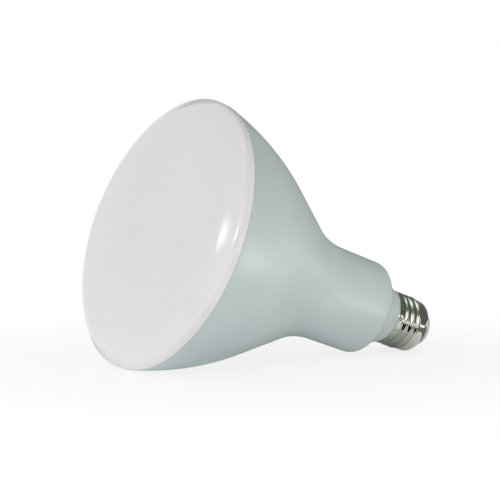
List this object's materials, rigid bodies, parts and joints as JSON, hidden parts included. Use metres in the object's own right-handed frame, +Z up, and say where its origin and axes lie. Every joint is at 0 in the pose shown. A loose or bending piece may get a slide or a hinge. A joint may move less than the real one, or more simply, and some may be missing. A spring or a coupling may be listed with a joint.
{
  "type": "light bulb",
  "caption": "Reflector lamp with a domed milky lens, a flared blue-grey housing, a moulded collar and a nickel-plated screw base, lying on its side.",
  "frame": {"origin": "middle of the lamp's box, on the surface that it lies on", "axes": "+X along the lying lamp towards its screw base, +Z up from the surface"},
  "size_m": [0.1696, 0.127, 0.1212],
  "materials": {
    "opal_lens": "milky polycarbonate, moulded smooth",
    "housing_plastic": "blue-grey moulded plastic, matte",
    "collar_plastic": "pale blue-grey moulded plastic, satin",
    "nickel_plate": "bright nickel plate on rolled sheet",
    "insulator_moulding": "pale grey moulded insulator, smooth",
    "contact_metal": "plated contact, slightly dull"
  },
  "bodies": {
    "root": {"diffuser_lens": "opal_lens", "reflector_housing": "housing_plastic", "base_collar": "collar_plastic", "screw_shell": "nickel_plate", "base_insulator": "insulator_moulding", "centre_contact": "contact_metal"}
  },
  "joints": []
}
